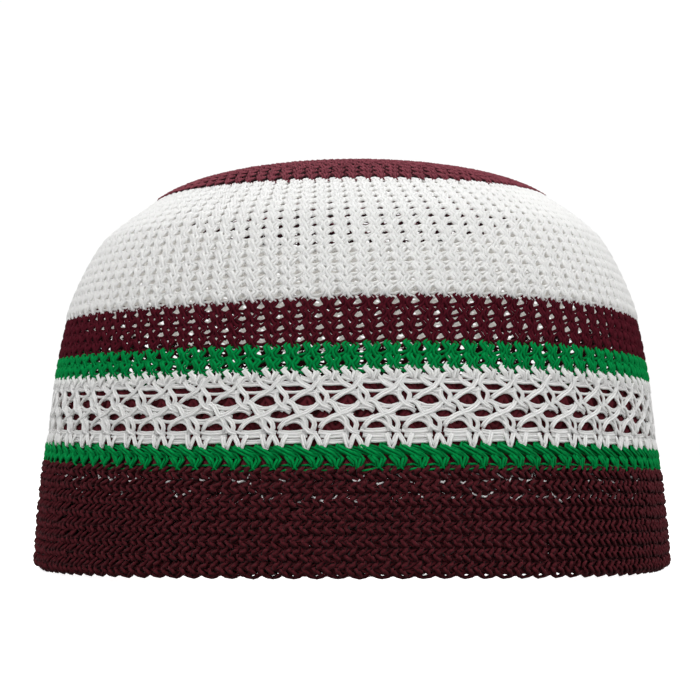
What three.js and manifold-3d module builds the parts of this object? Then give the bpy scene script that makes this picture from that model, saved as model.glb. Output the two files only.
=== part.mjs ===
// A knitted kufi: a brimless round cap in bands of maroon, white and green, with a lace panel
// between its two green stripes and its maroon rim turned up inside.
// Millimetres, +Z up. The cap stands on its rim: the origin is the centre of the rim's circle on
// that surface, and the front of the cap faces -Y.

import * as THREE from 'three';
import { mergeGeometries, mergeVertices } from 'three/addons/utils/BufferGeometryUtils.js';
import Module from 'manifold-3d';

const wasm = await Module();
wasm.setup();

// Driving dimensions
const rimRadius = 91;
const capHeight = 114;
const fabric = 2;
const seamGap = 0.3;
const rimRound = 0.9;
const rimLift = 3.2;

// Heights of the bands, from the rim up, and how far the crown piece reaches down from the top
const rimHeight = 28.7;
const lowerStripeHeight = 5.2;
const laceHeight = 17.9;
const upperStripeHeight = 5.9;
const meshHeight = 11.4;
const crownDepth = 12.7;

// The band that is turned up inside stands this high
const liningHeight = 47.5;

// Eyes of the lace: their size, and the fabric left between two of a row
const eyeWidth = 6.2;
const eyeHeight = 1.6;
const eyeWeb = 3.4;

// The cut of an eye starts and ends this far inside and outside the middle of the fabric
const eyeReach = 2 * fabric;

// Facets: round the cap, along the outline for measuring it, and up each piece
const turnSteps = 56;
const curveSteps = 400;
const crownSteps = 4;
const domeSteps = 6;
const bandSteps = 2;
const stripeSteps = 1;
const laceSteps = 1;
const rimSteps = 2;
const liningSteps = 2;

// Outline of the cap from rim to top, as shares of its height and of the rim's radius
const outlineSections = [
  { height: 0, radius: 1 },
  { height: 0.12, radius: 0.991 },
  { height: 0.22, radius: 0.98 },
  { height: 0.31, radius: 0.967 },
  { height: 0.41, radius: 0.954 },
  { height: 0.5, radius: 0.938 },
  { height: 0.6, radius: 0.914 },
  { height: 0.69, radius: 0.877 },
  { height: 0.785, radius: 0.818 },
  { height: 0.832, radius: 0.765 },
  { height: 0.88, radius: 0.689 },
  { height: 0.926, radius: 0.602 },
  { height: 0.957, radius: 0.49 },
  { height: 0.981, radius: 0.33 },
  { height: 0.995, radius: 0.16 },
  { height: 1, radius: 0 },
];

// The soft bands don't run level. Rows are shares of the cap's height; ripple is the height of
// three slow waves round the cap and lean is how far the band rises to one side, as shares of
// the rim's radius
const swaySections = [
  { height: 0, ripple: 0, lean: 0 },
  { height: 0.25, ripple: 0.0066, lean: -0.0104 },
  { height: 0.45, ripple: 0.0066, lean: 0 },
  { height: 0.61, ripple: 0.0088, lean: 0.0055 },
  { height: 0.88, ripple: 0, lean: 0.0088 },
  { height: 1, ripple: 0, lean: 0 },
];

// Two rows of eyes: rise is a share of the lace's height, turn of an eye's pitch, width of eyeWidth
const eyeRows = [
  { rise: 0.73, turn: 0, width: 1 },
  { rise: 0.385, turn: 0.73, width: 0.78 },
];

// Share of the turn, either side of the two sides of the cap, where the rim stands flat
const flatShare = 0.12;

// Colours of the yarns
const maroon = { color: 0x5a1b28, roughness: 0.85, metalness: 0 };
const green = { color: 0x007a40, roughness: 0.8, metalness: 0 };
const white = { color: 0xf0f0ee, roughness: 0.8, metalness: 0 };

const rimTop = rimHeight;
const lowerStripeTop = rimTop + lowerStripeHeight;
const laceTop = lowerStripeTop + laceHeight;
const upperStripeTop = laceTop + upperStripeHeight;
const meshTop = upperStripeTop + meshHeight;
const crownEdge = capHeight - crownDepth;

// The outline as one smooth curve: x is the radius, y the height
const outline = new THREE.SplineCurve(outlineSections.map((section) =>
  new THREE.Vector2(section.radius * rimRadius, section.height * capHeight)));
outline.arcLengthDivisions = curveSteps;
const outlineLength = outline.getLength();

// Share of the outline's length at which it reaches a height
function shareAtHeight(height) {
  let low = 0;
  let high = 1;
  while (high - low > 1e-7) {
    const middle = (low + high) / 2;
    if (outline.getPointAt(middle).y < height) {
      low = middle;
    } else {
      high = middle;
    }
  }
  return (low + high) / 2;
}

// Point of the outline, moved in from the outer face by a depth
function outlinePoint(share, depth) {
  const point = outline.getPointAt(share);
  const along = outline.getTangentAt(share);
  return new THREE.Vector2(point.x - along.y * depth, point.y + along.x * depth);
}

// Straight blend through the rows of a table, by one of its columns
function blend(rows, share, column) {
  const top = rows.findIndex((row) => row.height >= share);
  if (top <= 0) {
    return rows[Math.max(top, 0)][column];
  }
  const below = rows[top - 1];
  const above = rows[top];
  const part = (share - below.height) / (above.height - below.height);
  return below[column] + part * (above[column] - below[column]);
}

// How far the soft fabric at a height rises, at an angle from the front of the cap
function sway(height, angle) {
  const share = Math.min(Math.max(height / capHeight, 0), 1);
  const ripple = blend(swaySections, share, 'ripple') * Math.sin(3 * angle);
  const lean = blend(swaySections, share, 'lean') * Math.sin(angle);
  const facing = Math.max(0, (Math.cos(angle) ** 2 - flatShare) / (1 - flatShare));
  const lift = rimLift * facing * Math.max(0, 1 - height / rimTop);
  return (ripple + lean) * rimRadius + lift;
}

// Raise every corner of a geometry by the sway of the fabric there
function swayed(geometry) {
  const places = geometry.attributes.position;
  for (let i = 0; i < places.count; i += 1) {
    const angle = Math.atan2(places.getX(i), -places.getY(i));
    places.setZ(i, places.getZ(i) + sway(places.getZ(i), angle));
  }
  return geometry;
}

// Closed ring or cap from a section of radii and heights, turned about the Z axis
function turned(section) {
  const geometry = new THREE.LatheGeometry(section, turnSteps);
  geometry.rotateX(Math.PI / 2);
  geometry.deleteAttribute('normal');
  geometry.deleteAttribute('uv');
  return mergeVertices(geometry, 1e-4);
}

// Section of a band of fabric between two heights, with half of a seam's gap off each end
function bandSection(bottom, top, steps) {
  const from = shareAtHeight(bottom) + seamGap / 2 / outlineLength;
  const to = shareAtHeight(top) - seamGap / 2 / outlineLength;
  const outer = [];
  const inner = [];
  for (let i = 0; i <= steps; i += 1) {
    const share = from + (to - from) * i / steps;
    outer.push(outlinePoint(share, 0));
    inner.unshift(outlinePoint(share, fabric));
  }
  return [...outer, ...inner, outer[0]];
}

// Section of the crown piece, which closes on the axis
function crownSection(bottom, steps) {
  const from = shareAtHeight(bottom) + seamGap / 2 / outlineLength;
  const outer = [];
  const inner = [];
  for (let i = 0; i < steps; i += 1) {
    const share = from + (1 - from) * i / steps;
    outer.push(outlinePoint(share, 0));
    inner.unshift(outlinePoint(share, fabric));
  }
  const outerTop = new THREE.Vector2(0, capHeight);
  const innerTop = new THREE.Vector2(0, capHeight - fabric);
  return [innerTop, ...inner, ...outer, outerTop];
}

// Section of the rim: its outer wall, and the fold under the band that is turned up inside
function rimSection(steps) {
  const to = shareAtHeight(rimTop) - seamGap / 2 / outlineLength;
  const foldDepth = 2 * fabric + seamGap;
  const wallFoot = shareAtHeight(fabric);
  const outer = [];
  const inner = [];
  for (let i = 0; i <= steps; i += 1) {
    const share = wallFoot + (to - wallFoot) * i / steps;
    outer.push(outlinePoint(share, 0));
    inner.unshift(outlinePoint(share, fabric));
  }
  const foldEdge = rimRadius - foldDepth;
  const start = new THREE.Vector2(rimRadius - rimRound, 0);
  return [
    start,
    ...outer,
    ...inner,
    new THREE.Vector2(foldEdge, fabric),
    new THREE.Vector2(foldEdge, rimRound),
    new THREE.Vector2(foldEdge + rimRound, 0),
    start,
  ];
}

// Section of the band turned up inside, which stands on the rim's fold
function liningSection(steps) {
  const from = shareAtHeight(fabric + seamGap);
  const to = shareAtHeight(liningHeight);
  const outer = [];
  const inner = [];
  for (let i = 0; i <= steps; i += 1) {
    const share = from + (to - from) * i / steps;
    outer.push(outlinePoint(share, fabric + seamGap));
    inner.unshift(outlinePoint(share, 2 * fabric + seamGap));
  }
  return [...outer, ...inner, outer[0]];
}

// Solid that joins and cuts, from a closed geometry
function solidOf(geometry) {
  return new wasm.Manifold(new wasm.Mesh({
    numProp: 3,
    vertProperties: new Float32Array(geometry.attributes.position.array),
    triVerts: new Uint32Array(geometry.index.array),
  }));
}

// Geometry of a solid that was joined or cut
function geometryOf(solid) {
  const mesh = solid.getMesh();
  const geometry = new THREE.BufferGeometry();
  geometry.setAttribute('position', new THREE.BufferAttribute(mesh.vertProperties, 3));
  geometry.setIndex(new THREE.BufferAttribute(mesh.triVerts, 1));
  return geometry;
}

// One eye of the lace: a six-sided lens that runs out through the fabric at an angle
function eyeCutter(width, radius, height, angle) {
  const shape = new THREE.Shape([
    new THREE.Vector2(-width / 2, 0),
    new THREE.Vector2(-width / 4, -eyeHeight / 2),
    new THREE.Vector2(width / 4, -eyeHeight / 2),
    new THREE.Vector2(width / 2, 0),
    new THREE.Vector2(width / 4, eyeHeight / 2),
    new THREE.Vector2(-width / 4, eyeHeight / 2),
  ]);
  const depth = 2 * eyeReach;
  const geometry = new THREE.ExtrudeGeometry(shape, { depth, bevelEnabled: false, steps: 1 });
  geometry.deleteAttribute('normal');
  geometry.deleteAttribute('uv');
  geometry.rotateX(Math.PI / 2);
  geometry.translate(0, -(radius - depth / 2), height);
  geometry.rotateZ(angle);
  return mergeVertices(geometry, 1e-4);
}

// The lace panel, with its two rows of eyes cut through
function laceGeometry() {
  const shell = turned(bandSection(lowerStripeTop, laceTop, laceSteps));
  const cutters = [];
  for (const row of eyeRows) {
    const height = lowerStripeTop + row.rise * laceHeight;
    const radius = outlinePoint(shareAtHeight(height), fabric / 2).x;
    const count = Math.floor(2 * Math.PI * radius / (eyeWidth + eyeWeb));
    for (let i = 0; i < count; i += 1) {
      const angle = (i + row.turn) / count * 2 * Math.PI;
      cutters.push(eyeCutter(row.width * eyeWidth, radius, height, angle));
    }
  }
  return geometryOf(solidOf(shell).subtract(solidOf(mergeGeometries(cutters))));
}

// A named piece of the cap in its yarn
function piece(name, geometry, yarn) {
  const mesh = new THREE.Mesh(swayed(geometry), new THREE.MeshStandardMaterial(yarn));
  mesh.name = name;
  return mesh;
}

const kufi = new THREE.Group();
kufi.add(
  piece('crown', turned(crownSection(crownEdge, crownSteps)), maroon),
  piece('dome', turned(bandSection(meshTop, crownEdge, domeSteps)), white),
  piece('upper_band', turned(bandSection(upperStripeTop, meshTop, bandSteps)), maroon),
  piece('upper_stripe', turned(bandSection(laceTop, upperStripeTop, stripeSteps)), green),
  piece('lace_panel', laceGeometry(), white),
  piece('lower_stripe', turned(bandSection(rimTop, lowerStripeTop, stripeSteps)), green),
  piece('rim_band', turned(rimSection(rimSteps)), maroon),
  piece('inner_band', turned(liningSection(liningSteps)), maroon),
);

export default kufi;
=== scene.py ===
"""Looks of a knitted kufi: every band is laid in yarn, stitch by stitch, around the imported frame."""

import logging
import math
from dataclasses import dataclass, field
from enum import Enum
from typing import NamedTuple

import bpy
import numpy as np
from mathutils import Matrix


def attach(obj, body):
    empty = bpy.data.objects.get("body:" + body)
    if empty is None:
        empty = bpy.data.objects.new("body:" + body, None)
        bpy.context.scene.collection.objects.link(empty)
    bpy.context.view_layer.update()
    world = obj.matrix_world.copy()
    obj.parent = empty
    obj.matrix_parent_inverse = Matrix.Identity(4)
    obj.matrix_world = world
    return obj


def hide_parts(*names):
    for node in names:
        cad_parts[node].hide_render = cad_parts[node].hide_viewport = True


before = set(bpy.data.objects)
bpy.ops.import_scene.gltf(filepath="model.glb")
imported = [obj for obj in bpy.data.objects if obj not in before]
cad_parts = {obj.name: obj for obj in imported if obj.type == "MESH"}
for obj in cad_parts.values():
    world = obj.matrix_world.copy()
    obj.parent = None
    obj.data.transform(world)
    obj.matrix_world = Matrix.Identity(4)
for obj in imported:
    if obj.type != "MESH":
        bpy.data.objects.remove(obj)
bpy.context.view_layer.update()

MM = 0.001
TINY = 1e-9
BODY = "root"
BAKE_MAP = "OFBake"
PLY_MAP = "Ply"

Triple = tuple[float, float, float]

log = logging.getLogger("kufi")


def table(kind: type, *rows: tuple[float, ...]) -> tuple:
    """Return a table whose rows are of one kind, with named columns."""
    return tuple(kind(*row) for row in rows)


class OutlineSection(NamedTuple):
    """A section of the cap's outline, as shares of its height and of the rim's radius."""

    height: float
    radius: float


class SwaySection(NamedTuple):
    """How far the soft bands rise at a share of the height, as shares of the rim's radius."""

    height: float
    ripple: float
    lean: float


class Bend(NamedTuple):
    """A bend of the yarn in one stitch: shares of the wale's and course's pitch and of a strand."""

    across: float
    up: float
    out: float
    spread: float
    girth: float = 1.0


# The loop that the open and the joining stitch share.
LOOP = table(
    Bend,
    (-0.29, 0.92, 0.6, 0.7, 1.5), (-0.1, 1.26, -0.75, 0.58, 1.35),
    (0.13, 1.12, -0.65, 0.58, 1.35), (0.29, 0.78, 0.25, 0.7, 1.5),
)


class Course(Enum):
    """The kinds of course in the cap, each with the bends of one of its stitches."""

    PLAIN = table(
        Bend,
        (-0.25, 0.04, -0.75, 1.0, 1.1), (0.03, 0.02, 0.05, 0.55, 1.3),
        (-0.07, 0.5, 0.7, 0.66, 1.5), (-0.31, 0.96, 0.6, 0.66, 1.5),
        (-0.12, 1.28, -0.75, 0.58, 1.35), (0.14, 1.14, -0.6, 0.58, 1.35),
        (0.31, 0.74, 0.3, 0.64, 1.5), (0.15, 0.06, 0.8, 0.58, 1.35),
        (0.28, -0.1, -0.6, 1.05, 1.15),
    )
    OPEN = (
        *table(
            Bend,
            (-0.5, -0.06, -0.7, 0.92, 1.2), (-0.18, 0.17, -0.1, 0.58, 1.35),
            (-0.1, 0.5, 0.68, 0.66, 1.5),
        ),
        *LOOP,
        *table(Bend, (0.11, 0.42, 0.74, 0.64, 1.45), (0.19, 0.06, 0.05, 0.6, 1.35)),
    )
    JOIN = (
        *table(
            Bend,
            (-0.5, 0.0, -3.2, 0.92, 1.1), (-0.16, 0.15, -0.8, 0.58, 1.35), (-0.1, 0.5, 0.6, 0.66, 1.5),
        ),
        *LOOP,
        *table(Bend, (0.11, 0.42, 0.7, 0.64, 1.45), (0.17, 0.02, -0.8, 0.6, 1.35)),
    )
    SLANT = table(
        Bend,
        (0.15, -0.07, 0.55, 0.58, 1.35), (-0.18, 0.22, 0.85, 0.62, 1.45),
        (-0.52, 0.54, 0.85, 0.62, 1.45), (-0.84, 0.86, 0.55, 0.6, 1.4),
        (-0.78, 1.12, -0.5, 0.55, 1.15), (-0.35, 0.9, -0.85, 0.55, 1.1),
        (0.3, 0.5, -0.85, 0.55, 1.1), (0.85, 0.05, -0.6, 0.55, 1.15),
    )
    ZIG = table(
        Bend,
        (0.25, -0.05, -0.5, 0.0, 1.3), (0.06, 0.3, 0.75, 0.0, 1.5),
        (-0.24, 0.7, 1.15, 0.0, 1.5), (-0.45, 1.04, 0.8, 0.0, 1.35),
        (-0.15, 1.05, -0.9, 0.0, 1.2), (0.62, 0.35, -1.0, 0.0, 1.2),
    )
    ZAG = table(
        Bend,
        (-0.62, 0.35, -0.9, 0.0, 1.2), (0.15, 1.05, -1.0, 0.0, 1.2),
        (0.45, 1.04, -0.5, 0.0, 1.3), (0.24, 0.7, 0.75, 0.0, 1.5),
        (-0.06, 0.3, 1.15, 0.0, 1.5), (-0.25, -0.05, 0.8, 0.0, 1.35),
    )
    SCALLOP = table(
        Bend,
        (-0.5, 0.3, -0.3, 0.5, 1.2), (-0.27, -0.5, 0.4, 0.5, 1.2),
        (-0.01, -1.0, 1.1, 0.5, 1.25), (0.26, -0.55, 0.4, 0.5, 1.2),
        (0.46, 0.15, -0.1, 0.5, 1.2),
    )
    LINING = table(
        Bend,
        (-0.4, 0.0, 0.3, 0.5), (-0.14, 0.75, -0.2, 0.5), (0.02, 1.32, -0.6, 0.5),
        (0.2, 0.75, -0.2, 0.5), (0.4, 0.0, 0.3, 0.5),
    )


class LaceBend(NamedTuple):
    """A bend of a lace strand: shares of the repeat and of the panel's height, and of a strand."""

    across: float
    rise: float
    out: float


class LaceRun(NamedTuple):
    """A strand, or a pair of them, that every repeat of the lace has."""

    name: str
    pair: bool
    bends: tuple[LaceBend, ...]


def strand(name: str, *bends: Triple) -> LaceRun:
    """Return a single strand of the lace with its bends."""
    return LaceRun(name, False, table(LaceBend, *bends))


def pair(name: str, *bends: Triple) -> LaceRun:
    """Return a pair of strands of the lace with their bends."""
    return LaceRun(name, True, table(LaceBend, *bends))


class Grain(NamedTuple):
    """Noise in a yarn: its grains in a metre, its octaves and its share of the tone."""

    scale: float
    detail: float
    share: float


class Blend(Enum):
    """What a shader blends."""

    VALUES = "FLOAT"
    COLOURS = "RGBA"


@dataclass(frozen=True)
class Shading:
    """Adds shader nodes to a tree.

    Attributes:
        tree: The node tree.
    """

    tree: bpy.types.NodeTree

    def add(self, kind: str, inputs: dict[int | str, object], **settings: object) -> bpy.types.Node:
        """Add a node and fill its sockets.

        Args:
            kind: Type of the node.
            inputs: Values of its sockets by name or number, or the outputs that feed them.
            settings: Its other settings.

        Returns:
            The node.
        """
        node = self.tree.nodes.new(kind)
        for name, value in settings.items():
            setattr(node, name, value)
        for name, value in inputs.items():
            if isinstance(value, bpy.types.NodeSocket):
                self.tree.links.new(value, node.inputs[name])
            else:
                node.inputs[name].default_value = value
        return node

    def reckon(self, operation: str, *values: object) -> bpy.types.NodeSocket:
        """Return the outcome of an operation on numbers or outputs."""
        node = self.add("ShaderNodeMath", dict(enumerate(values)), operation=operation)
        return node.outputs["Value"]

    def blend(
        self, first: object, second: object, share: object, kind: Blend = Blend.VALUES
    ) -> bpy.types.NodeSocket:
        """Return a blend from the first, at a share of 0, to the second, at a share of 1."""
        inputs = {"Factor": share, "A": first, "B": second}
        return self.add("ShaderNodeMix", inputs, data_type=kind.value).outputs["Result"]

    def noise(self, grain: Grain) -> bpy.types.NodeSocket:
        """Make noise fixed to the yarn's place in the cap.

        Args:
            grain: Kind of noise.

        Returns:
            The noise's value.
        """
        place = self.add("ShaderNodeTexCoord", {}).outputs["Object"]
        inputs = {"Vector": place, "Scale": grain.scale, "Detail": grain.detail}
        return self.add("ShaderNodeTexNoise", inputs).outputs["Fac"]


@dataclass(frozen=True)
class YarnFinish:
    """The look of one dyed yarn, with twisted plies, loose fibres and uneven dye.

    Attributes:
        name: Name of the material.
        slot: Slot of the record that it fills; not used.
        colour: Linear colour of the yarn in full light.
        deep_and_ply_shade: Linear colour of its darker fibres, and of the painted shade in the grooves
            between its plies.
        painted_shade: Linear colour painted on the side that lies against the hollow, as painted shade.
        roughness: Roughness of the fibres.
        gloss: Strength of their gloss.
        sheen: Weight of the soft light at the yarn's edges.
        sheen_roughness: Roughness of that light.
        glow: Share of the light that passes through the yarn.
        ply_length: Length of one turn of the yarn's twist, in millimetres.
        fibres: Its loose fibres.
        patches: Its patches of uneven dye.
        relief: Strength of the plies' relief.
        relief_depth: Depth of that relief, in millimetres.
        relief_share: Share of the fibres in that relief.
        full_shade_to: Share of a turn away from the hollow up to which the painted shade is full.
        no_shade_from: Share of a turn away from the hollow where the painted shade is gone and the outer
            colour is full.
    """

    name: str
    slot: str
    colour: Triple
    # Darker fibres, and painted shade in the grooves between the plies.
    deep_and_ply_shade: Triple
    # Painted shade: a darker colour on each strand's side that faces the hollow, which darkens the
    # crevices.
    painted_shade: Triple
    roughness: float = 0.85
    gloss: float = 0.03
    sheen: float = 0.01
    sheen_roughness: float = 0.5
    glow: float = 0.0
    ply_length: float = 2.2
    fibres: Grain = Grain(2600.0, 3.0, 0.45)
    patches: Grain = Grain(90.0, 2.0, 0.3)
    relief: float = 0.5
    relief_depth: float = 0.12
    relief_share: float = 0.4
    full_shade_to: float = 0.08
    no_shade_from: float = 0.34

    def material(self) -> bpy.types.Material:
        """Make the yarn's material.

        Returns:
            The material.
        """
        made = bpy.data.materials.new(self.name)
        made.use_nodes = True
        made.node_tree.nodes.clear()
        shading = Shading(made.node_tree)
        around, plies = self._places(shading)
        fibres = shading.noise(self.fibres)
        # Painted shade: the grooves between the plies take the deep colour, mixed with random fibre and
        # dye tone.
        tone = shading.blend(plies, fibres, self.fibres.share)
        tone = shading.blend(tone, shading.noise(self.patches), self.patches.share)
        dyed = shading.blend((*self.deep_and_ply_shade, 1.0), (*self.colour, 1.0), tone, Blend.COLOURS)
        # Painted shade: the inner colour covers the side of each strand that faces the hollow.
        unshaded_share = self._unshaded_mask(shading, around)
        colour = shading.blend((*self.painted_shade, 1.0), dyed, unshaded_share, Blend.COLOURS)
        bump = shading.add("ShaderNodeBump", {
            "Strength": self.relief,
            "Distance": self.relief_depth * MM,
            "Height": shading.blend(plies, fibres, self.relief_share),
        })
        surface = shading.add("ShaderNodeBsdfPrincipled", {
            "Base Color": colour,
            "Roughness": self.roughness,
            "Sheen Weight": self.sheen,
            "Sheen Roughness": self.sheen_roughness,
            "Specular IOR Level": self.gloss,
            "Normal": bump.outputs["Normal"],
        })
        last = surface.outputs["BSDF"]
        if self.glow > 0:
            through = shading.add("ShaderNodeBsdfTranslucent", {"Color": colour})
            inputs = {"Fac": self.glow, 1: last, 2: through.outputs["BSDF"]}
            last = shading.add("ShaderNodeMixShader", inputs).outputs["Shader"]
        shading.add("ShaderNodeOutputMaterial", {"Surface": last})
        return made

    def _places(self, shading: Shading) -> tuple[bpy.types.NodeSocket, bpy.types.NodeSocket]:
        """Find places round the strand and on its slanting plies.

        Args:
            shading: Nodes of the material.

        Returns:
            The share of a turn round the strand, and a value from 0 between the plies to 1 on them.
        """
        place = shading.add("ShaderNodeUVMap", {}, uv_map=PLY_MAP).outputs["UV"]
        apart = shading.add("ShaderNodeSeparateXYZ", {"Vector": place})
        along, around = apart.outputs["X"], apart.outputs["Y"]
        turns = shading.reckon("MULTIPLY_ADD", along, 1.0 / self.ply_length, around)
        return around, shading.reckon("MULTIPLY", shading.reckon("PINGPONG", turns, 0.5), 2.0)

    def _unshaded_mask(self, shading: Shading, around: bpy.types.NodeSocket) -> bpy.types.NodeSocket:
        """Find how far each side of the strand faces out of the cap, which sets where the painted shade
        lies.

        Args:
            shading: Nodes of the material.
            around: The share of a turn round the strand.

        Returns:
            A value from 0, in full painted shade on the side at the hollow, to 1 on the outer side.
        """
        # Painted shade: full on the side at the hollow, fading out towards the outer side.
        facing = shading.reckon("PINGPONG", shading.reckon("ADD", around, 0.25), 0.5)
        inputs = {"Value": facing, "From Min": self.full_shade_to, "From Max": self.no_shade_from}
        return shading.add("ShaderNodeMapRange", inputs).outputs["Result"]


class Yarn(Enum):
    """The dyed yarns.

    The maroon yarn comes in four materials: the crown's is painted lighter as painted light from
    above, and the lining's is painted lighter as painted light in the shade inside the cap.
    """

    MAROON = YarnFinish(
        "maroon_yarn", "maroon_yarn",
        colour=(0.086, 0.012, 0.017), deep_and_ply_shade=(0.021, 0.002, 0.003), painted_shade=(0.006, 0.0007, 0.001),
        gloss=0.05, sheen=0.03,
    )
    # Painted light: the lining's maroon is painted lighter than the rim's, with little painted shade, so
    # it shows red in the shade inside the cap.
    MAROON_LIT_LINING = YarnFinish(
        "maroon_yarn_lit_lining", "maroon_yarn",
        colour=(0.11, 0.017, 0.023), deep_and_ply_shade=(0.055, 0.007, 0.01), painted_shade=(0.085, 0.013, 0.018),
    )
    MAROON_BAND = YarnFinish(
        "maroon_yarn_band", "maroon_yarn",
        colour=(0.086, 0.008, 0.016), deep_and_ply_shade=(0.024, 0.0015, 0.004), painted_shade=(0.006, 0.0006, 0.001),
    )
    # Painted light: the crown's maroon is painted lighter and pinker, as lit from above.
    MAROON_LIT_CROWN = YarnFinish(
        "maroon_yarn_lit_crown", "maroon_yarn",
        colour=(0.21, 0.052, 0.069), deep_and_ply_shade=(0.058, 0.011, 0.016), painted_shade=(0.006, 0.0015, 0.0025),
    )
    GREEN = YarnFinish(
        "green_yarn", "green_yarn",
        colour=(0.0, 0.245, 0.056), deep_and_ply_shade=(0.0, 0.12, 0.027), painted_shade=(0.0, 0.04, 0.01),
    )
    WHITE = YarnFinish(
        "white_yarn", "white_yarn",
        colour=(0.9, 0.9, 0.895), deep_and_ply_shade=(0.82, 0.82, 0.815), painted_shade=(0.8, 0.785, 0.75),
        sheen=0.1, glow=0.45,
    )


@dataclass
class Wardrobe:
    """Holds one material for each yarn.

    Attributes:
        made: The materials made so far.
    """

    made: dict[Yarn, bpy.types.Material] = field(default_factory=dict)

    def dress(self, piece: bpy.types.Object, yarn: Yarn) -> None:
        """Give a piece the material of its yarn.

        Args:
            piece: Piece to dress.
            yarn: Yarn it is knitted in.
        """
        if yarn not in self.made:
            self.made[yarn] = yarn.value.material()
        piece.data.materials.append(self.made[yarn])


def unit(vectors: np.ndarray) -> np.ndarray:
    """Return vectors, with x, y and z last, brought to a length of 1."""
    return vectors / np.maximum(np.linalg.norm(vectors, axis=-1, keepdims=True), TINY)


def smooth(points: np.ndarray, steps: int) -> np.ndarray:
    """Run a smooth curve through points.

    Args:
        points: Points, one to a row.
        steps: Number of points on the curve.

    Returns:
        The curve's points.
    """
    last = len(points) - 1
    place = np.linspace(0, last, steps)
    index = np.minimum(place.astype(int), last - 1)
    part = (place - index)[:, None]
    before, start = points[np.maximum(index - 1, 0)], points[index]
    end, after = points[index + 1], points[np.minimum(index + 2, last)]
    leave, arrive = (end - before) / 2, (after - start) / 2
    return (
        (2 * start - 2 * end + leave + arrive) * part**3
        + (3 * end - 3 * start - 2 * leave - arrive) * part**2
        + leave * part
        + start
    )


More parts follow.
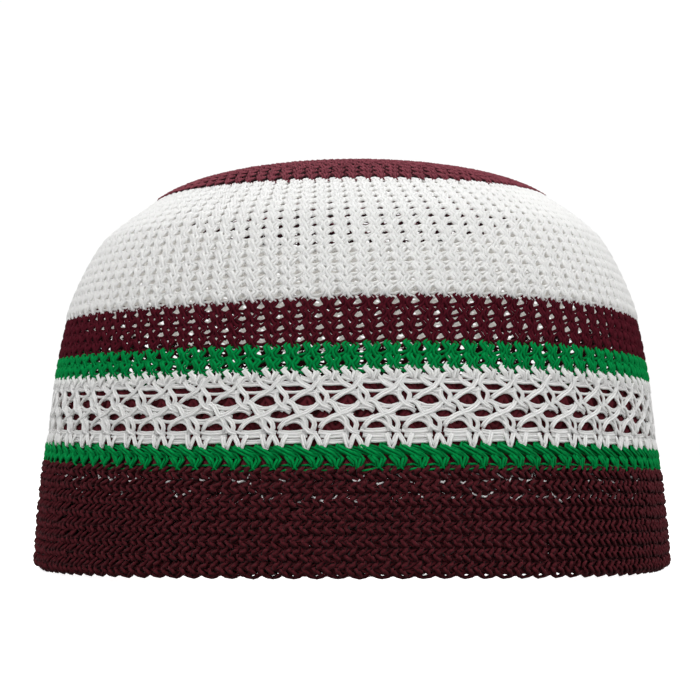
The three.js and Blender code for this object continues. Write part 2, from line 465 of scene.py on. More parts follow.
@dataclass
class CapForm:
    """The fabric's surface, round the cap and up from the fold at its rim.

    A place on it is an angle from the front, a length of fabric up from the start of the outer
    wall (negative round the fold and up inside), and a height off the middle of the fabric.
    All lengths are in millimetres.

    Attributes:
        rim_radius: Radius of the rim.
        height: Height of the cap.
        fabric: Thickness of the fabric.
        lining_gap: Gap between the outer wall and the turned-up band.
        rim_lift: How far the rim lifts at the front and the back.
        rim_height: Height of the rim's end, where that lift has died away.
        flat_share: Square of the cosine of the angle, from the front, where the lift ends.
        mesh_top: Height of the upper band's end, where the fabric starts to slip up at the sides.
        crown_edge: Height of the crown's edge, where it slips most.
        slip: How far it slips there.
        ripples: Ripples round the cap.
        fine_steps: Points on the measured outline.
        outline: Sections of the outline.
        sways: Sections of the rise of the soft bands.
    """

    rim_radius: float = 91.0
    height: float = 114.0
    fabric: float = 2.0
    lining_gap: float = 0.3
    rim_lift: float = 3.2
    rim_height: float = 28.7
    flat_share: float = 0.12
    mesh_top: float = 69.1
    crown_edge: float = 101.3
    slip: float = 4.6
    ripples: int = 3
    fine_steps: int = 4000
    outline: tuple[OutlineSection, ...] = table(
        OutlineSection,
        (0.0, 1.0), (0.12, 0.991), (0.22, 0.98), (0.31, 0.967), (0.41, 0.954), (0.5, 0.938),
        (0.6, 0.914), (0.69, 0.877), (0.785, 0.818), (0.832, 0.765), (0.88, 0.689), (0.926, 0.602),
        (0.957, 0.49), (0.981, 0.33), (0.995, 0.16), (1.0, 0.0),
    )
    sways: tuple[SwaySection, ...] = table(
        SwaySection,
        (0.0, 0.0, 0.0), (0.25, 0.0066, -0.0104), (0.45, 0.0066, 0.0), (0.61, 0.0088, 0.0055),
        (0.88, 0.0, 0.0088), (1.0, 0.0, 0.0),
    )

    def __post_init__(self) -> None:
        """Measure the outline and the fold."""
        points = [(s.radius * self.rim_radius, s.height * self.height) for s in self.outline]
        curve = smooth(np.array(points), self.fine_steps)
        steps = np.linalg.norm(np.diff(curve, axis=0), axis=1)
        self.arcs = np.concatenate([[0.0], np.cumsum(steps)])
        self.radii, self.heights = curve.T
        self.fold_radius = (self.fabric + self.lining_gap) / 2
        self.fold_height = self.fold_radius + self.fabric / 2
        self.fold_arc = float(np.interp(self.fold_height, self.heights, self.arcs))
        self.fold_length = math.pi * self.fold_radius
        self.slip_lengths = (self.up_to(self.mesh_top), self.up_to(self.crown_edge), self.top())
        self.slope_r = np.gradient(self.radii, self.arcs)
        self.slope_z = np.gradient(self.heights, self.arcs)

    def up_to(self, height: float) -> float:
        """Return the length of fabric from the fold up to a height."""
        return float(np.interp(height, self.heights, self.arcs)) - self.fold_arc

    def top(self) -> float:
        """Return the length of fabric from the fold to the top."""
        return float(self.arcs[-1]) - self.fold_arc

    def girth(self, length: float) -> float:
        """Return the way round the middle of the fabric at a length of fabric up."""
        radius = float(np.interp(length + self.fold_arc, self.arcs, self.radii))
        return 2 * math.pi * max(radius - self.fabric / 2, 0.0)

    def sway(self, height: np.ndarray, angle: np.ndarray) -> np.ndarray:
        """Find how far the soft fabric rises.

        Args:
            height: Heights in the level cap.
            angle: Angles from the front.

        Returns:
            The rise at each place.
        """
        share = np.clip(height / self.height, 0, 1)
        heights = [s.height for s in self.sways]
        ripple = np.interp(share, heights, [s.ripple for s in self.sways])
        lean = np.interp(share, heights, [s.lean for s in self.sways])
        facing = np.maximum(0, (np.cos(angle) ** 2 - self.flat_share) / (1 - self.flat_share))
        lift = self.rim_lift * facing * np.clip(1 - height / self.rim_height, 0, 1)
        return (ripple * np.sin(self.ripples * angle) + lean * np.sin(angle)) * self.rim_radius + lift

    def section(self, length: np.ndarray, out: np.ndarray) -> tuple[np.ndarray, ...]:
        """Find places in the cap's section, before it sways.

        Args:
            length: Lengths of fabric up from the fold.
            out: Heights off the middle of the fabric.

        Returns:
            Radius and height of each place, and the radius and height of the way out there.
        """
        half = self.fabric / 2
        inside = length < -self.fold_length
        arc = np.where(inside, -length - self.fold_length, np.maximum(length, 0)) + self.fold_arc
        way_r = np.interp(arc, self.arcs, self.slope_z)
        way_z = -np.interp(arc, self.arcs, self.slope_r)
        depth = np.where(inside, half + 2 * self.fold_radius + out, half - out)
        radius = np.interp(arc, self.arcs, self.radii) - way_r * depth
        height = np.interp(arc, self.arcs, self.heights) - way_z * depth
        turn = np.clip(-length / self.fold_radius, 0, math.pi)
        folded = (length < 0) & ~inside
        centre = float(np.interp(self.fold_arc, self.arcs, self.radii)) - half - self.fold_radius
        reach = self.fold_radius + out
        radius = np.where(folded, centre + reach * np.cos(turn), radius)
        height = np.where(folded, self.fold_height - reach * np.sin(turn), height)
        sign = np.where(inside, -1.0, 1.0)
        way_r = np.where(folded, np.cos(turn), sign * way_r)
        way_z = np.where(folded, -np.sin(turn), sign * way_z)
        return radius, height, way_r, way_z

    def place(
        self, angle: np.ndarray, length: np.ndarray, out: np.ndarray
    ) -> tuple[np.ndarray, np.ndarray]:
        """Find places on the cap.

        Args:
            angle: Angles from the front, in radians.
            length: Lengths of fabric up from the fold.
            out: Heights off the middle of the fabric.

        Returns:
            Places, and the ways out of the fabric there, with x, y and z last.
        """
        turn = np.interp(length, self.slip_lengths, (0.0, self.slip, 0.0))
        radius, height, way_r, way_z = self.section(length + turn * np.sin(angle) ** 2, out)
        rise = self.sway(height, angle)
        side, front = np.sin(angle), -np.cos(angle)
        places = np.stack([radius * side, radius * front, height + rise], axis=-1)
        ways = np.stack([way_r * side, way_r * front, way_z], axis=-1)
        return places, ways


def add_object(name: str, data: bpy.types.ID) -> bpy.types.Object:
    """Return a new object that stands in the scene.

    Args:
        name: Name of the object.
        data: Its mesh, light or camera.

    Returns:
        The object.
    """
    made = bpy.data.objects.new(name, data)
    bpy.context.scene.collection.objects.link(made)
    return made


@dataclass
class YarnMesh:
    """Grows one mesh out of many swept strands.

    Attributes:
        name: Name of the piece.
        sides: Flat sides round a strand.
        end_margin: Margin at the ends of a strand that is laid out flat, as a share of its place.
        side_margin: Margin at its long sides.
        corners: Corners of the strands, in millimetres.
        faces: Corner numbers of their quads.
        strips: Number of paths, number of lengths and whether they are closed, for each sweep.
        steps: Mean length between the stops of each sweep, in millimetres.
        count: Number of corners so far.
    """

    name: str
    sides: int = 4
    end_margin: float = 0.05
    side_margin: float = 0.1
    corners: list[np.ndarray] = field(default_factory=list)
    faces: list[np.ndarray] = field(default_factory=list)
    strips: list[tuple[int, int, bool]] = field(default_factory=list)
    steps: list[float] = field(default_factory=list)
    count: int = 0

    def sweep(
        self, centres: np.ndarray, ways: np.ndarray, radius: float | np.ndarray, closed: bool
    ) -> None:
        """Sweep strands along paths.

        Args:
            centres: Places along each path, with the paths first.
            ways: Ways out of the fabric at each place.
            radius: Radius of a strand, the same everywhere or one for each place.
            closed: Whether the paths join their own starts.
        """
        paths, stops = centres.shape[:2]
        if closed:
            along = np.roll(centres, -1, axis=1) - np.roll(centres, 1, axis=1)
        else:
            along = np.gradient(centres, axis=1)
        along = unit(along)
        side = unit(np.cross(along, ways))
        lift = np.cross(side, along)
        turns = (2 * math.pi * np.arange(self.sides) / self.sides)[:, None]
        reach = np.broadcast_to(radius, (paths, stops))[:, :, None, None]
        rings = centres[:, :, None] + reach * (
            np.cos(turns) * side[:, :, None] + np.sin(turns) * lift[:, :, None]
        )
        index = self.count + np.arange(paths * stops * self.sides).reshape(paths, stops, self.sides)
        here = index if closed else index[:, :-1]
        there = np.roll(index, -1, axis=1) if closed else index[:, 1:]
        quads = [here, there, np.roll(there, -1, axis=2), np.roll(here, -1, axis=2)]
        self.corners.append(rings.reshape(-1, 3))
        self.faces.append(np.stack(quads, axis=-1).reshape(-1, 4))
        self.strips.append((paths, here.shape[1], closed))
        self.steps.append(float(np.linalg.norm(np.diff(centres, axis=1), axis=2).mean()))
        self.count += index.size
        if not closed:
            self._close(index)

    def _close(self, index: np.ndarray) -> None:
        """Close the ends of open strands.

        Args:
            index: Corner numbers, by path, stop and side.
        """
        for end, order in ((0, 1), (-1, -1)):
            ring = index[:, end, ::order]
            for start in range(1, self.sides - 2, 2):
                quad = [ring[:, 0], ring[:, start], ring[:, start + 1], ring[:, start + 2]]
                self.faces.append(np.stack(quad, axis=-1))

    def build(self) -> bpy.types.Object:
        """Make the piece.

        Returns:
            The piece's object, smooth and with its maps.
        """
        corners = np.concatenate(self.corners) * MM
        faces = np.concatenate(self.faces)
        starts = np.arange(0, faces.size, faces.shape[1], dtype=np.int32)
        mesh = bpy.data.meshes.new(self.name)
        mesh.vertices.add(len(corners))
        mesh.vertices.foreach_set("co", corners.ravel().astype(np.float32))
        mesh.loops.add(faces.size)
        mesh.loops.foreach_set("vertex_index", faces.ravel().astype(np.int32))
        mesh.polygons.add(len(faces))
        mesh.polygons.foreach_set("loop_start", starts)
        mesh.polygons.foreach_set("use_smooth", np.ones(len(faces), dtype=bool))
        mesh.update(calc_edges=True)
        self._lay_maps(mesh)
        mesh.validate()
        return add_object(self.name, mesh)

    def _lay_maps(self, mesh: bpy.types.Mesh) -> None:
        """Lay the strands out flat, for baking and for the yarn's twist.

        Args:
            mesh: Mesh of the piece.
        """
        rows = sum(paths if closed else 1 for paths, _, closed in self.strips)
        bake, twist = [], []
        row = 0
        for (paths, stops, closed), step in zip(self.strips, self.steps):
            path, stop, side = np.meshgrid(
                np.arange(paths), np.arange(stops), np.arange(self.sides), indexing="ij"
            )
            along = np.stack([stop, stop + 1, stop + 1, stop], axis=-1)
            around = np.stack([side, side, side + 1, side + 1], axis=-1)
            path = path[..., None]
            if closed:
                across = along / stops
                strip = row + path
                row += paths
            else:
                filled = 1 - 2 * self.end_margin
                across = (path + self.end_margin + filled * along / stops) / paths
                strip = row
                row += 1
            filled = 1 - 2 * self.side_margin
            up = (strip + self.side_margin + filled * around / self.sides) / rows
            bake.append(np.stack([across + 0 * up, up + 0 * across], axis=-1).reshape(-1, 2))
            turned = [along * step, around / self.sides + 0 * along]
            twist.append(np.stack(turned, axis=-1).reshape(-1, 2))
            if not closed:
                # Quads close both ends of each strand, and a quad has four corners.
                ends = paths * 2 * (self.sides // 2 - 1) * 4
                bake.append(np.full((ends, 2), 0.5 / rows) + [0, (row - 1) / rows])
                twist.append(np.zeros((ends, 2)))
        for name, values in ((BAKE_MAP, bake), (PLY_MAP, twist)):
            layer = mesh.uv_layers.new(name=name)
            layer.uv.foreach_set("vector", np.concatenate(values).ravel().astype(np.float32))


@dataclass(frozen=True)
class Gauge:
    """How the yarn is knitted.

    Attributes:
        strands: Strands in the yarn, one or two.
        thickness: Thickness of a strand, as a share of the knitter's.
        loft: How far the course stands off the fabric's middle, in millimetres.
        parting: How far apart the strands lie, as a share of the usual.
        unevenness: Unevenness of the stitches, as a share of the usual.
        relief: Depth of the stitches, as a share of the usual.
    """

    strands: int = 2
    thickness: float = 1.0
    loft: float = 0.0
    parting: float = 1.0
    unevenness: float = 1.0
    relief: float = 1.0


@dataclass
class Knitter:
    """Lays courses of knitting on the cap, with a slightly uneven hand.

    Attributes:
        form: The cap's surface.
        strand: Diameter of one strand, in millimetres.
        twist: How far one strand of a pair stands above the other, as a share of a strand.
        wobble: Unevenness of the stitches, as a share of a stitch.
        fine_wobble: Unevenness of each bend, as a share of the stitch's.
        deep_wobble: Unevenness in depth and spread, as a share of that across.
        seed: Seed of the unevenness.
    """

    form: CapForm
    strand: float = 0.54
    twist: float = 0.12
    wobble: float = 0.025
    fine_wobble: float = 0.5
    deep_wobble: float = 2.0
    seed: int = 11

    def __post_init__(self) -> None:
        """Start the unevenness."""
        self.random = np.random.default_rng(self.seed)

    def course(
        self,
        mesh: YarnMesh,
        kind: Course,
        base: float,
        pitch: float,
        wales: int,
        phase: float,
        gauge: Gauge,
    ) -> None:
        """Lay one course round the cap.

        Args:
            mesh: Mesh that takes the strands.
            kind: Kind of course.
            base: Length of fabric up to the foot of its stitches.
            pitch: Height of the course, negative where it is knitted downwards.
            wales: Stitches in the course.
            phase: Sideways shift of the stitches, as a share of one.
            gauge: How the yarn is knitted.
        """
        bends = np.array(kind.value)
        hand = self.random.normal(0, self.wobble, (4, wales, 1))
        fine = self.random.normal(0, self.wobble * self.fine_wobble, (4, wales, len(bends)))
        shift, rise, depth, parting = (hand + fine) * gauge.unevenness
        number = np.arange(wales)[:, None]
        angle = (number + bends[:, 0] + phase + shift) / wales * 2 * math.pi
        length = base + pitch * (bends[:, 1] + rise)
        out = self.strand * gauge.relief * (bends[:, 2] + self.deep_wobble * depth) + gauge.loft
        places, ways = self.form.place(angle.ravel(), length.ravel(), out.ravel())
        thickness = self.strand * gauge.thickness
        radius = np.tile(thickness / 2 * bends[:, 4], wales)
        if gauge.strands == 1:
            mesh.sweep(places[None], ways[None], radius, closed=True)
            return
        spread = thickness * gauge.parting * bends[:, 3] * (1 + self.deep_wobble * parting)
        side = unit(np.cross(np.roll(places, -1, axis=0) - np.roll(places, 1, axis=0), ways))
        half = side * spread.ravel()[:, None] + ways * (self.twist * thickness)
        for sign in (-1, 1):
            mesh.sweep((places + sign * half)[None], ways[None], radius, closed=True)


@dataclass
class KnitPiece:
    """A piece of the cap that is knitted in one yarn.

    Attributes:
        name: Name of the piece.
        node: Node of the frame that it stands for.
        yarn: Its yarn.
        bottom: Length of fabric up to its first course.
    """

    name: str
    node: str
    yarn: Yarn
    bottom: float

    def build(self, knitter: Knitter) -> bpy.types.Object:
        """Knit the piece.

        Args:
            knitter: Hand that lays the strands.

        Returns:
            The piece's object.
        """
        mesh = YarnMesh(self.name)
        self.lay(mesh, knitter)
        return mesh.build()

    def dress(self, piece: bpy.types.Object, wardrobe: Wardrobe) -> None:
        """Dress the piece in its yarn."""
        wardrobe.dress(piece, self.yarn)

    def lay(self, mesh: YarnMesh, knitter: Knitter) -> None:
        """Lay the piece's strands, which each kind of piece does in its own way."""
        raise NotImplementedError


@dataclass
class KnitBand(KnitPiece):
    """A band of courses with the same number of stitches.

    Attributes:
        top: Length of fabric up to its end.
        courses: Number of courses.
        wales: Stitches in a course.
        kinds: Kinds of course, from the bottom up and then over again.
        first: Kind of the first course, where it differs.
        phase: Sideways shift of the first course, as a share of a wale.
        lean: Sideways drift of the wales for each length up.
        gauge: How the yarn is knitted.
    """

    top: float
    courses: int
    wales: int
    kinds: tuple[Course, ...] = (Course.OPEN,)
    first: Course | None = None
    phase: float = 0.0
    lean: float = 0.0
    gauge: Gauge = Gauge()

    def lay(self, mesh: YarnMesh, knitter: Knitter) -> None:
        """Lay the band's courses.

        Args:
            mesh: Mesh that takes the strands.
            knitter: Hand that lays them.
        """
        pitch = (self.top - self.bottom) / self.courses
        for row in range(self.courses):
            kind = self.kinds[row % len(self.kinds)]
            if row == 0 and self.first is not None:
                kind = self.first
            base = self.bottom + row * pitch
            girth = knitter.form.girth(max(base, 0.0))
            drift = self.lean * (base - self.bottom) / girth * self.wales
            knitter.course(mesh, kind, base, pitch, self.wales, self.phase - drift, self.gauge)


@dataclass
class Crown(KnitPiece):
    """The maroon top, whose rounds lose stitches towards the middle.

    Attributes:
        rounds: Rounds from the edge to the middle.
        stitch: Width of a stitch, in millimetres.
        fewest: Fewest stitches in a round.
        aligned: Rounds at the edge whose stitches stand above one another.
        drift: Sideways shift of each round above them, as a share of a stitch.
        eye: Length left open in the middle, in millimetres.
        last_round: Room above the last round, in rounds.
        gauge: How the yarn is knitted.
    """

    rounds: int = 22
    stitch: float = 3.52
    fewest: int = 6
    aligned: int = 2
    drift: float = 0.382
    eye: float = 0.3
    last_round: float = 0.6
    gauge: Gauge = Gauge(thickness=0.9, loft=1.0, parting=1.06)

    def lay(self, mesh: YarnMesh, knitter: Knitter) -> None:
        """Lay the crown's rounds.

        Args:
            mesh: Mesh that takes the strands.
            knitter: Hand that lays them.
        """
        pitch = (knitter.form.top() - self.bottom - self.eye) / (self.rounds + self.last_round)
        for turn in range(self.rounds):
            base = self.bottom + turn * pitch
            wales = max(self.fewest, round(knitter.form.girth(base) / self.stitch))
            phase = self.drift * max(0, turn - self.aligned)
            knitter.course(mesh, Course.PLAIN, base, pitch, wales, phase, self.gauge)


@dataclass
class LacePanel(KnitPiece):
    """The white open-work panel between the green stripes.

    Attributes:
        top: Length of fabric up to its end.
        repeats: Repeats of the lace round the cap.
        phase: Sideways shift of the lace, as a share of a repeat.
        thickness: Thickness of a strand, as a share of the knitter's.
        relief: Depth of the bends, as a share of the knitter's.
        parting: How far apart the strands of a pair lie, as a share of a strand.
        calm: Unevenness of the strands, as a share of the knitter's, and once more for their rise.
        top_pitch: Height of the plain course that ends the panel, in millimetres.
        top_phase: Sideways shift of that course, as a share of a stitch.
        runs: The strands of one repeat.
    """

    top: float
    repeats: int = 56
    phase: float = 0.225
    thickness: float = 1.29
    relief: float = 0.6
    parting: float = 0.38
    calm: float = 0.5
    top_pitch: float = 2.7
    top_phase: float = -0.06
    runs: tuple[LaceRun, ...] = (
        pair(
            "bar over the first eye",
            (-0.06, 0.84, -0.5), (0.08, 0.815, -0.2), (0.26, 0.808, -0.1), (0.44, 0.815, -0.1),
            (0.58, 0.8, 0.0), (0.72, 0.755, 0.1), (0.84, 0.73, -0.4),
        ),
        pair(
            "strand beside the first eye",
            (0.36, 0.95, -0.4), (0.46, 0.86, 0.2), (0.56, 0.8, 0.4), (0.68, 0.77, 0.3),
            (0.8, 0.73, -0.3),
        ),
        pair(
            "hook over the first eye",
            (0.36, 0.92, -0.4), (0.18, 0.905, 0.1), (0.05, 0.88, 0.4), (0.0, 0.82, 0.3),
            (-0.04, 0.76, -0.3),
        ),
        pair(
            "strand over the first knot",
            (0.52, 0.9, -0.4), (0.66, 0.87, 0.3), (0.78, 0.85, 0.4), (0.9, 0.88, 0.2),
            (1.0, 0.93, -0.4),
        ),
        pair(
            "arm up to the first knot",
            (0.28, 0.58, -0.4), (0.4, 0.625, 0.3), (0.555, 0.677, 0.7), (0.736, 0.722, 0.7),
            (0.83, 0.77, 0.7), (0.91, 0.83, 0.6), (0.94, 0.9, -0.2),
        ),
        pair(
            "band over the second eye",
            (0.5, 0.655, -0.6), (0.66, 0.686, -0.5), (0.82, 0.672, -0.4), (0.94, 0.62, -0.2),
            (1.0, 0.56, -0.4),
        ),
        pair(
            "first ring, right",
            (0.9, 0.86, -0.4), (0.95, 0.79, 0.3), (1.02, 0.735, 0.6), (1.11, 0.69, 0.8),
            (1.17, 0.65, 0.7), (1.16, 0.6, 0.5), (1.12, 0.54, 0.4), (1.02, 0.46, -0.5),
        ),
        pair(
            "first ring, left",
            (0.98, 0.74, -0.5), (0.93, 0.69, 0.1), (0.93, 0.63, 0.3), (0.98, 0.575, 0.5),
            (1.06, 0.525, 0.7), (1.16, 0.5, 0.6), (1.3, 0.47, -0.2),
        ),
        pair(
            "first knot",
            (0.72, 0.71, -0.4), (0.82, 0.695, 0.0), (0.93, 0.705, 0.1), (1.04, 0.73, -0.3),
        ),
        strand(
            "float under the first eye",
            (0.0, 0.735, -0.3), (0.12, 0.7, -0.3), (0.3, 0.693, -0.3), (0.5, 0.693, -0.4),
            (0.64, 0.72, -0.6),
        ),
        strand(
            "upper float under the second eye",
            (0.3, 0.565, -0.5), (0.42, 0.538, -0.4), (0.56, 0.512, -0.4), (0.7, 0.5, -0.4),
            (0.9, 0.53, -0.6),
        ),
        strand(
            "lower float under the second eye",
            (0.34, 0.51, -0.6), (0.5, 0.485, -0.4), (0.7, 0.482, -0.4), (0.92, 0.51, -0.5),
        ),
        pair(
            "arm down from the first ring",
            (0.12, 0.575, -0.2), (0.26, 0.562, 0.4), (0.36, 0.52, 0.7), (0.42, 0.457, 0.7),
            (0.49, 0.405, 0.5), (0.58, 0.36, 0.5), (0.65, 0.31, 0.5), (0.665, 0.25, 0.4),
            (0.64, 0.16, -0.2),
        ),
        pair(
            "arm up to the second knot",
            (0.02, 0.215, -0.4), (0.077, 0.266, 0.3), (0.19, 0.324, 0.6), (0.327, 0.362, 0.7),
            (0.44, 0.385, 0.8), (0.59, 0.412, 0.8), (0.736, 0.443, 0.8), (0.827, 0.476, 0.7),
            (0.918, 0.52, 0.4), (1.0, 0.58, -0.3),
        ),
        pair(
            "band over the third eye",
            (0.74, 0.43, -0.5), (0.86, 0.47, -0.4), (1.02, 0.484, -0.3), (1.16, 0.474, -0.3),
            (1.3, 0.425, -0.5),
        ),
        pair(
            "band over the fourth eye",
            (0.14, 0.292, -0.6), (0.28, 0.33, -0.5), (0.42, 0.336, -0.4), (0.54, 0.312, -0.3),
            (0.66, 0.24, -0.5),
        ),
        strand(
            "float under the third eye",
            (0.72, 0.375, -0.5), (0.86, 0.34, -0.4), (1.0, 0.334, -0.4), (1.14, 0.34, -0.5),
            (1.32, 0.38, -0.6),
        ),
        strand(
            "lower float under the third eye",
            (0.8, 0.33, -0.7), (0.95, 0.318, -0.6), (1.05, 0.316, -0.6), (1.2, 0.325, -0.7),
        ),
        pair(
            "second ring, right",
            (0.62, 0.405, -0.3), (0.7, 0.38, 0.4), (0.78, 0.35, 0.7), (0.85, 0.31, 0.7),
            (0.885, 0.265, 0.5), (0.87, 0.215, 0.3), (0.8, 0.15, -0.4),
        ),
        pair(
            "second ring, left",
            (0.58, 0.31, -0.4), (0.66, 0.25, 0.2), (0.72, 0.205, 0.5), (0.8, 0.18, 0.5),
            (0.94, 0.16, -0.3),
        ),
        pair(
            "second knot",
            (0.44, 0.43, -0.4), (0.56, 0.44, 0.0), (0.68, 0.4, 0.2), (0.8, 0.375, -0.3),
        ),
        pair(
            "first float under the fourth eye",
            (-0.02, 0.19, -0.6), (0.14, 0.166, -0.5), (0.42, 0.166, -0.5), (0.7, 0.19, -0.7),
        ),
        pair(
            "second float under the fourth eye",
            (0.02, 0.13, -0.7), (0.18, 0.118, -0.6), (0.42, 0.118, -0.5), (0.7, 0.13, -0.7),
        ),
        pair(
            "third float under the fourth eye",
            (0.08, 0.06, -0.8), (0.22, 0.058, -0.6), (0.44, 0.058, -0.6), (0.68, 0.07, -0.8),
        ),
        pair(
            "first loop at the foot",
            (0.59, 0.15, -0.2), (0.62, 0.09, 0.7), (0.66, 0.015, 1.0), (0.7, -0.045, 0.1),
            (0.745, 0.005, 1.0), (0.785, 0.075, 0.9), (0.85, 0.14, 0.0),
        ),
        pair(
            "second loop at the foot",
            (0.86, 0.15, -0.1), (0.93, 0.095, 0.7), (0.99, 0.035, 1.0), (1.035, -0.025, 0.5),
            (1.075, -0.045, 0.2), (1.115, 0.0, 1.0), (1.155, 0.065, 1.0), (1.215, 0.14, -0.1),
        ),
    )

    def lay(self, mesh: YarnMesh, knitter: Knitter) -> None:
        """Lay the lace and the plain course above it.

        Args:
            mesh: Mesh that takes the strands.
            knitter: Hand that lays them.
        """
        for run in self.runs:
            self._lay_run(mesh, knitter, run)
        base = self.top - self.top_pitch
        wales = 2 * self.repeats
        knitter.course(mesh, Course.PLAIN, base, self.top_pitch, wales, self.top_phase, Gauge())

    def _lay_run(self, mesh: YarnMesh, knitter: Knitter, run: LaceRun) -> None:
        """Lay one strand, or pair of strands, in every repeat.

        Args:
            mesh: Mesh that takes the strands.
            knitter: Hand that lays them.
            run: The strand.
        """
        bends = smooth(np.array(run.bends), len(run.bends) + 1)
        shift, rise, depth = knitter.random.normal(0, knitter.wobble, (3, self.repeats, 1)) * self.calm
        repeat = np.arange(self.repeats)[:, None]
        angle = (repeat + self.phase + bends[:, 0] + shift) / self.repeats * 2 * math.pi
        length = self.bottom + (self.top - self.bottom) * (bends[:, 1] + self.calm * rise)
        out = knitter.strand * self.relief * (bends[:, 2] + depth)
        places, ways = knitter.form.place(angle, length, out)
        thickness = knitter.strand * self.thickness
        if not run.pair:
            mesh.sweep(places, ways, thickness / 2, closed=False)
            return
        side = unit(np.cross(np.gradient(places, axis=1), ways))
        half = thickness * (self.parting * side + knitter.twist * ways)
        for sign in (-1, 1):
            mesh.sweep(places + sign * half, ways, thickness / 2, closed=False)


class FloatRow(NamedTuple):
    """A row of white yarn carried behind the rim, between two heights in millimetres."""

    name: str
    foot: float
    top: float
    wales: int
    loft: float
    unevenness: float


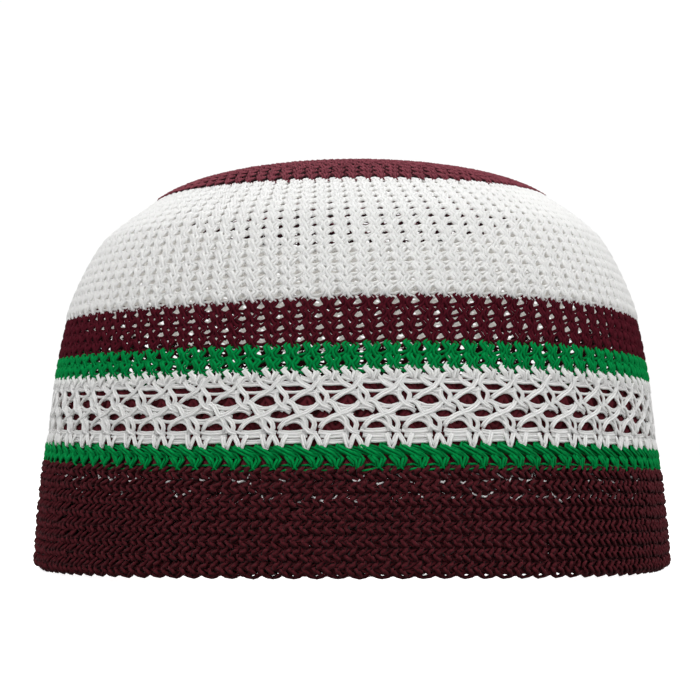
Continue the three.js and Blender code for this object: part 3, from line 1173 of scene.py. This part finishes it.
@dataclass
class Kufi:
    """The whole cap, from its rim up, with heights in millimetres.

    Attributes:
        form: The cap's surface.
        wales: Stitches round the cap.
        lean: Sideways drift of the wales for each length up.
        edge_shift: Place of the scalloped edge, up from the middle of the fold.
        edge_reach: Depth of a scallop.
        edge_start: How far round the fold the rim's first course lies.
        rim_courses: Courses of the rim.
        floats: Rows of white yarn behind the rim.
        lining_height: Height of the turned-up band.
        lining_courses: Courses of the turned-up band.
        lower_stripe_top: Height of the lower stripe's end.
        lace_top: Height of the lace's end.
        upper_stripe_top: Height of the upper stripe's end.
        dome_courses: Courses of the dome's lower and upper part.
        dome_phase: Sideways shift of the dome's first course, as a share of a wale.
    """

    form: CapForm = field(default_factory=CapForm)
    wales: int = 112
    lean: float = 0.095
    edge_shift: float = 0.95
    edge_reach: float = 1.0
    edge_start: float = 1.1
    rim_courses: int = 16
    floats: tuple[FloatRow, ...] = (
        FloatRow("upper_float_knit", foot=26.5, top=28.3, wales=92, loft=-0.75, unevenness=6.0),
        FloatRow("lower_float_knit", foot=22.4, top=24.6, wales=76, loft=-0.8, unevenness=7.0),
    )
    lining_height: float = 49.0
    lining_courses: int = 22
    lower_stripe_top: float = 33.9
    lace_top: float = 51.8
    upper_stripe_top: float = 57.7
    dome_courses: tuple[int, int] = (8, 7)
    dome_phase: float = -0.28

    def pieces(self) -> list[KnitPiece]:
        """Return the cap's pieces, from the rim up."""
        return [*self._rim(), *self._floats(), self._lining(), *self._middle(), *self._top()]

    def _band(self, name: str, node: str, yarn: Yarn, *span: float, **habit: object) -> KnitBand:
        """Return a band that spans from a bottom to a top, with the cap's wales and their lean."""
        return KnitBand(name, node, yarn, *span, wales=self.wales, lean=self.lean, **habit)

    def _rim(self) -> list[KnitPiece]:
        """List the scalloped edge and the herringbone rim.

        Returns:
            The pieces.
        """
        edge = self.edge_shift - self.form.fold_length / 2
        return [
            KnitBand(
                "edge_knit", "rim_band", Yarn.MAROON, edge, edge + self.edge_reach, courses=1,
                kinds=(Course.SCALLOP,), wales=self.wales, phase=0.35, gauge=Gauge(thickness=1.1),
            ),
            KnitBand(
                "rim_knit", "rim_band", Yarn.MAROON, -self.edge_start,
                self.form.up_to(self.form.rim_height), courses=self.rim_courses,
                kinds=(Course.ZIG, Course.ZAG), wales=2 * self.wales, phase=-0.1,
                gauge=Gauge(strands=1, thickness=1.28, unevenness=3.6),
            ),
        ]

    def _floats(self) -> list[KnitPiece]:
        """List the rows of white yarn that show through the rim's upper courses.

        Returns:
            The pieces.
        """
        return [
            KnitBand(
                row.name, "lace_panel", Yarn.WHITE, self.form.up_to(row.foot),
                self.form.up_to(row.top), courses=1, kinds=(Course.SCALLOP,), wales=row.wales,
                phase=0.3,
                gauge=Gauge(strands=1, thickness=0.8, loft=row.loft, unevenness=row.unevenness),
            )
            for row in self.floats
        ]

    def _lining(self) -> KnitPiece:
        """Make the turned-up band, knitted from the fold up inside the cap.

        Returns:
            The piece.
        """
        bottom = self.form.fold_length - self.edge_start
        top = self.form.fold_length + self.form.up_to(self.lining_height)
        return KnitBand(
            "lining_knit", "inner_band", Yarn.MAROON_LIT_LINING, -bottom, -top,
            courses=self.lining_courses, kinds=(Course.LINING,), wales=self.wales, phase=0.5, lean=0.03,
            gauge=Gauge(strands=1, thickness=4.2, loft=-0.55),
        )

    def _middle(self) -> list[KnitPiece]:
        """List the lower stripe, the lace, the upper stripe and the upper band.

        Returns:
            The pieces.
        """
        form = self.form
        rim_top, stripe_top = form.up_to(form.rim_height), form.up_to(self.lower_stripe_top)
        lace_top, green_top = form.up_to(self.lace_top), form.up_to(self.upper_stripe_top)
        return [
            self._band(
                "lower_stripe_knit", "lower_stripe", Yarn.GREEN, rim_top, stripe_top, courses=2,
                kinds=(Course.PLAIN, Course.SLANT), phase=0.2, gauge=Gauge(thickness=1.1),
            ),
            LacePanel("lace_knit", "lace_panel", Yarn.WHITE, stripe_top, lace_top),
            self._band(
                "upper_stripe_knit", "upper_stripe", Yarn.GREEN, lace_top, green_top, courses=2,
                phase=0.05, gauge=Gauge(thickness=1.22),
            ),
            self._band(
                "upper_band_knit", "upper_band", Yarn.MAROON_BAND, green_top,
                form.up_to(form.mesh_top), courses=4, phase=-0.06,
                gauge=Gauge(thickness=1.22, relief=0.85),
            ),
        ]

    def _top(self) -> list[KnitPiece]:
        """List the dome's two parts, whose wales run on, and the crown.

        Returns:
            The pieces.
        """
        bottom, edge = self.form.slip_lengths[:2]
        low, high = self.dome_courses
        middle = bottom + (edge - bottom) * low / (low + high)
        turned = self.lean * (middle - bottom) / self.form.girth(middle) * self.wales
        return [
            self._band(
                "dome_knit_lower", "dome", Yarn.WHITE, bottom, middle, courses=low, first=Course.JOIN,
                phase=self.dome_phase, gauge=Gauge(thickness=1.4, loft=0.5, parting=0.82, relief=0.5),
            ),
            self._band(
                "dome_knit_upper", "dome", Yarn.WHITE, middle, edge, courses=high,
                phase=self.dome_phase - turned,
                gauge=Gauge(thickness=1.4, loft=0.6, parting=0.82, relief=0.5),
            ),
            Crown("crown_knit", "crown", Yarn.MAROON_LIT_CROWN, edge),
        ]


class Lamp(NamedTuple):
    """A soft square light: its place in metres and its power in watts."""

    name: str
    place: Triple
    power: float


@dataclass
class Studio:
    """A pale floor, soft lights and the camera at the photo's height and distance.

    Attributes:
        distance: From the camera to the middle of the cap, in millimetres.
        eye_height: Height of the camera above the floor, in millimetres.
        focal: Focal length as a share of the picture's width.
        horizon: Height of the horizon in the picture, in pixels from the top.
        middle: Place of the cap's middle in the picture, in pixels from the left.
        picture: Width and height of the picture, in pixels.
        sensor: Width of the camera's sensor, in millimetres.
        sight: Nearest and farthest that the camera sees, in metres.
        floor_size: Width of the floor, in metres.
        floor_tone: Lightness of the floor.
        floor_glow: Light that the floor gives off, so that it fades into the backdrop.
        shade_radius: Radius of the floor that the cap shades, in millimetres.
        shade_height: Height of that round floor above the other, in millimetres.
        shade_corners: Corners of that round floor.
        backdrop: Strength of the backdrop's light.
        above: Light from overhead, as a share of the backdrop's.
        below: Light from below, as a share of the backdrop's.
        room: Heights where the light from below ends, where the backdrop starts and ends and where
            the light from above starts, from 0 straight down to 1 straight up.
        lamps: The soft lights.
        lamp_size: Their width, in metres.
        aim_height: Height of the place that they face, in metres.
        hollow_power: Power of the light in the cap's hollow, in watts.
        hollow_radius: Radius of that light, in metres.
        hollow_height: Its height above the floor, in metres.
    """

    distance: float = 400.0
    eye_height: float = 32.6
    focal: float = 1.934
    horizon: float = 450.0
    middle: float = 352.0
    picture: float = 700.0
    sensor: float = 36.0
    sight: tuple[float, float] = (0.01, 50.0)
    floor_size: float = 12.0
    floor_tone: float = 0.9
    floor_glow: float = 0.7
    shade_radius: float = 50.0
    shade_height: float = 0.1
    shade_corners: int = 48
    backdrop: float = 1.02
    above: float = 0.42
    below: float = 0.25
    room: tuple[float, float, float, float] = (0.42, 0.46, 0.68, 0.8)
    lamps: tuple[Lamp, ...] = (
        Lamp("key", (-0.35, -0.75, 0.95), 8.5),
        Lamp("fill", (0.8, -0.6, 0.6), 5.0),
        Lamp("top", (0.0, 0.1, 1.05), 5.0),
    )
    lamp_size: float = 0.6
    aim_height: float = 0.05
    hollow_power: float = 0.17
    hollow_radius: float = 0.03
    hollow_height: float = 0.06

    def build(self) -> None:
        """Set up the floor, the backdrop, the lights and the camera."""
        self._floor()
        self._world()
        for lamp in self.lamps:
            self._light(lamp)
        self._glow()
        self._camera()

    def _floor(self) -> None:
        """Lay the floor, white enough to fade into the backdrop, and duller inside the cap."""
        half = self.floor_size / 2
        square = [(-half, -half, 0), (half, -half, 0), (half, half, 0), (-half, half, 0)]
        self._ground("floor", square, self.floor_glow)
        turns = 2 * math.pi * np.arange(self.shade_corners) / self.shade_corners
        reach, rise = self.shade_radius * MM, self.shade_height * MM
        circle = [(reach * math.cos(turn), reach * math.sin(turn), rise) for turn in turns]
        self._ground("shaded_floor", circle, 0.0)

    def _ground(self, name: str, outline: list[Triple], glow: float) -> None:
        """Lay a flat piece of pale floor.

        Args:
            name: Name of the piece.
            outline: Its corners, in metres.
            glow: Light that it gives off.
        """
        mesh = bpy.data.meshes.new(name)
        mesh.from_pydata(outline, [], [tuple(range(len(outline)))])
        ground = add_object(name, mesh)
        paint = bpy.data.materials.new(name + "_paint")
        paint.use_nodes = True
        surface = paint.node_tree.nodes["Principled BSDF"]
        surface.inputs["Base Color"].default_value = (self.floor_tone, self.floor_tone, self.floor_tone, 1)
        surface.inputs["Roughness"].default_value = 1.0
        surface.inputs["Specular IOR Level"].default_value = 0.0
        surface.inputs["Emission Color"].default_value = (1.0, 1.0, 1.0, 1)
        surface.inputs["Emission Strength"].default_value = glow
        mesh.materials.append(paint)
        ground.visible_diffuse = False
        ground.visible_glossy = False

    def _world(self) -> None:
        """Hang a white backdrop all round, with a dimmer room above and below it."""
        world = bpy.data.worlds.new("studio")
        world.use_nodes = True
        shading = Shading(world.node_tree)
        place = shading.add("ShaderNodeTexCoord", {}).outputs["Generated"]
        apart = shading.add("ShaderNodeSeparateXYZ", {"Vector": place})
        rise = shading.reckon("MULTIPLY_ADD", apart.outputs["Z"], 0.5, 0.5)
        ramp = shading.add("ShaderNodeValToRGB", {"Fac": rise})
        bands = ramp.color_ramp.elements
        bands[0].color = (self.below, self.below, self.below, 1)
        bands[1].color = (self.above, self.above, self.above, 1)
        for height, light in zip(self.room, (self.below, 1.0, 1.0, self.above)):
            bands.new(height).color = (light, light, light, 1)
        background = world.node_tree.nodes["Background"]
        background.inputs["Strength"].default_value = self.backdrop
        world.node_tree.links.new(ramp.outputs["Color"], background.inputs["Color"])
        bpy.context.scene.world = world
        bpy.context.scene.view_settings.view_transform = "Standard"

    def _light(self, lamp: Lamp) -> None:
        """Hang a soft square light that faces the cap.

        Args:
            lamp: The light.
        """
        data = bpy.data.lights.new(lamp.name, "AREA")
        data.size = self.lamp_size
        data.energy = lamp.power
        light = add_object(lamp.name, data)
        light.location = lamp.place
        way = np.array((0.0, 0.0, self.aim_height)) - np.array(lamp.place)
        flat = math.hypot(way[0], way[1])
        light.rotation_euler = (math.atan2(flat, -way[2]), 0, math.atan2(-way[0], way[1]))

    def _glow(self) -> None:
        """Light the hollow of the cap softly, so that the holes in the knitting show pale."""
        data = bpy.data.lights.new("hollow", "POINT")
        data.shadow_soft_size = self.hollow_radius
        data.energy = self.hollow_power
        light = add_object("hollow", data)
        light.location = (0.0, 0.0, self.hollow_height)
        light.visible_camera = False

    def _camera(self) -> None:
        """Set up the camera, tilted so that the horizon falls where it does in the photo."""
        data = bpy.data.cameras.new("camera")
        data.sensor_width = self.sensor
        data.lens = self.focal * self.sensor
        data.clip_start, data.clip_end = self.sight
        camera = add_object("camera", data)
        half = self.picture / 2
        tilt = math.atan((self.horizon - half) / (self.focal * self.picture))
        turn = math.atan((self.middle - half) / (self.focal * self.picture))
        camera.location = (0, -self.distance * MM, self.eye_height * MM)
        camera.rotation_euler = (math.pi / 2 + tilt, 0, turn)
        bpy.context.scene.camera = camera


def main() -> None:
    """Build the studio and the cap, piece by piece, and note the cap's size."""
    logging.basicConfig(level=logging.INFO, format="%(name)s: %(message)s")
    Studio().build()
    kufi = Kufi()
    knitter = Knitter(kufi.form)
    wardrobe = Wardrobe()
    total = 0
    for part in kufi.pieces():
        piece = part.build(knitter)
        part.dress(piece, wardrobe)
        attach(piece, BODY)
        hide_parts(part.node)
        triangles = 2 * len(piece.data.polygons)
        total += triangles
        log.info("%s: %d triangles", piece.name, triangles)
    log.info("whole cap: %d triangles", total)


if __name__ == "__main__":
    main()
